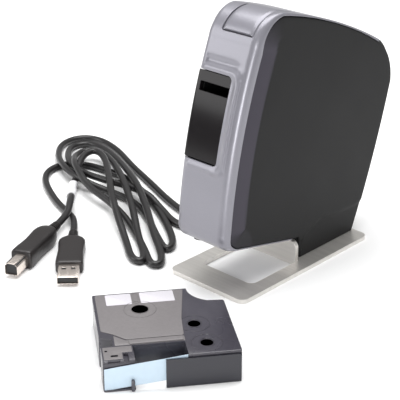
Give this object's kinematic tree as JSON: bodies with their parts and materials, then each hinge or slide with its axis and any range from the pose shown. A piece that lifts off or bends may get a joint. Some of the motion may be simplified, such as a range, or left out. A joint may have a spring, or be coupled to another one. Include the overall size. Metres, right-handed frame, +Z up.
{
  "type": "label maker",
  "caption": "Slim desktop label printer leaning on a bent aluminium stand, with cassette door, printing mechanism, tape cassette and detached USB lead.",
  "frame": {"origin": "centre of the stand plate's underside, on the table", "axes": "+X across the machine to the closed side, +Y to its rear, +Z up; the label leaves toward -Y"},
  "size_m": [0.3027, 0.2498, 0.1531],
  "materials": {
    "silver_paint": "satin silver paint on moulded plastic",
    "black_shell": "fine textured black plastic",
    "black_gloss": "polished black plastic",
    "stand_alloy": "brushed and clear anodised",
    "deck_plastic": "glass-filled plastic",
    "gear_plastic": "natural acetal",
    "steel": "bright steel",
    "rubber_black": "matt",
    "board_green": "solder mask",
    "chip_black": "moulded",
    "head_ceramic": "glazed ceramic",
    "case_smoke": "smoked translucent plastic",
    "guard_dark": "dark smoked plastic",
    "tape_white": "laminated tape",
    "ribbon_black": "ink ribbon on its core",
    "label_paper": "blank paper label",
    "cord_black": "soft PVC",
    "plug_black": "satin overmould",
    "plug_metal": "nickel plated",
    "contact_black": "contact carrier",
    "sleeve_white": "heat-shrunk sleeve"
  },
  "bodies": {
    "case": {"stand_plate": "stand_alloy", "stand_screws": "steel", "front_band": "silver_paint", "bottom_feet": "rubber_black", "right_cover": "black_shell", "rear_case": "black_shell", "door_hinge_pin": "steel", "exit_bezel": "black_gloss", "chassis": "deck_plastic", "feed_motor": "steel", "head_spring": "steel", "spring_seat": "deck_plastic", "cutter_motor": "steel", "control_board": "board_green", "board_parts": "chip_black", "usb_socket": "plug_metal", "power_jack": "contact_black", "case_screws": "steel", "board_screws": "steel"},
    "door": {"cassette_door": "black_shell"},
    "button": {"release_button": "silver_paint"},
    "platen": {"platen_roller": "rubber_black", "platen_shaft": "gear_plastic"},
    "ribbon_winder": {"ribbon_drive": "gear_plastic"},
    "first_idler": {"idler_gear_b": "gear_plastic"},
    "second_idler": {"idler_gear_a": "gear_plastic"},
    "motor_rotor": {"motor_pinion": "gear_plastic"},
    "head_carrier": {"head_arm": "steel", "print_head": "head_ceramic"},
    "cutter": {"cutter_slide": "gear_plastic", "cutter_blade": "steel"},
    "cutter_drive": {"cutter_pinion": "gear_plastic"},
    "cassette": {"cassette_case": "case_smoke", "cassette_lid": "case_smoke", "tape_guard": "guard_dark", "cassette_labels": "label_paper", "tape_strip": "tape_white"},
    "tape_reel": {"tape_spool": "tape_white"},
    "ribbon_feed_reel": {"ribbon_feed_spool": "ribbon_black"},
    "ribbon_take_reel": {"ribbon_take_spool": "ribbon_black"},
    "lead": {"cord_hank": "cord_black", "cord_to_plug_a": "cord_black", "cord_to_plug_b": "cord_black", "tag_sleeve": "sleeve_white", "plug_a_body": "plug_black", "plug_a_shell": "plug_metal", "plug_a_insert": "contact_black", "plug_b_body": "plug_black", "plug_b_shell": "plug_metal", "plug_b_insert": "contact_black"}
  },
  "joints": [
    {"name": "door_swing", "type": "hinge", "parent": "case", "child": "door", "pos_m": [-0.0152, 0.0594, 0.04383], "axis": [0, -0.2164, -0.9763], "range_deg": [0, 60]},
    {"name": "button_press", "type": "hinge", "parent": "case", "child": "button", "pos_m": [0, -0.03593, 0.1424], "axis": [-1, 0, 0], "range_deg": [0, 3], "stiffness_Nm_per_rad": 2},
    {"name": "motor_spin", "type": "hinge", "parent": "case", "child": "motor_rotor", "pos_m": [0, 0.03745, 0.08746], "axis": [1, 0, 0], "continuous": true},
    {"name": "first_idler_spin", "type": "hinge", "parent": "case", "child": "first_idler", "pos_m": [0, 0.02632, 0.09767], "axis": [1, 0, 0], "continuous": true},
    {"name": "second_idler_spin", "type": "hinge", "parent": "case", "child": "second_idler", "pos_m": [0, 0.00811, 0.11018], "axis": [1, 0, 0], "continuous": true},
    {"name": "platen_spin", "type": "hinge", "parent": "case", "child": "platen", "pos_m": [0, -0.00999, 0.10971], "axis": [1, 0, 0], "continuous": true},
    {"name": "ribbon_wind", "type": "hinge", "parent": "case", "child": "ribbon_winder", "pos_m": [0, 0.00991, 0.09178], "axis": [1, 0, 0], "continuous": true},
    {"name": "head_swing", "type": "hinge", "parent": "case", "child": "head_carrier", "pos_m": [0, -0.00273, 0.08239], "axis": [1, 0, 0], "range_deg": [0, 4], "stiffness_Nm_per_rad": 1.5, "deforming": ["head_spring"]},
    {"name": "cutter_lift", "type": "slide", "parent": "case", "child": "cutter", "axis": [0, 0.2164, 0.9763], "range_m": [0, 0.007]},
    {"name": "cutter_pinion_spin", "type": "hinge", "parent": "case", "child": "cutter_drive", "pos_m": [0, -0.0483, 0.05746], "axis": [-1, 0, 0], "range_deg": [-5, 105]},
    {"name": "cassette_lift", "type": "slide", "parent": "case", "child": "cassette", "axis": [0, 0, 1], "range_m": [0, 0.12]},
    {"name": "tape_reel_spin", "type": "hinge", "parent": "cassette", "child": "tape_reel", "pos_m": [0.01297, -0.11875, 0], "axis": [0, 0, 1], "continuous": true},
    {"name": "ribbon_feed_spin", "type": "hinge", "parent": "cassette", "child": "ribbon_feed_reel", "pos_m": [0.04241, -0.10966, 0], "axis": [0, 0, 1], "continuous": true},
    {"name": "ribbon_take_spin", "type": "hinge", "parent": "cassette", "child": "ribbon_take_reel", "pos_m": [0.05923, -0.11825, 0], "axis": [0, 0, 1], "continuous": true},
    {"name": "lead_lift", "type": "slide", "parent": "case", "child": "lead", "axis": [0, 0, 1], "range_m": [0, 0.002]}
  ],
  "couplings": [
    {"joint": "first_idler_spin", "follows": "motor_spin", "ratio": -0.36842},
    {"joint": "second_idler_spin", "follows": "motor_spin", "ratio": 0.36842},
    {"joint": "platen_spin", "follows": "motor_spin", "ratio": -0.58333},
    {"joint": "ribbon_wind", "follows": "motor_spin", "ratio": 0.63636},
    {"joint": "cutter_pinion_spin", "follows": "cutter_lift", "rad_per_m": 250}
  ]
}
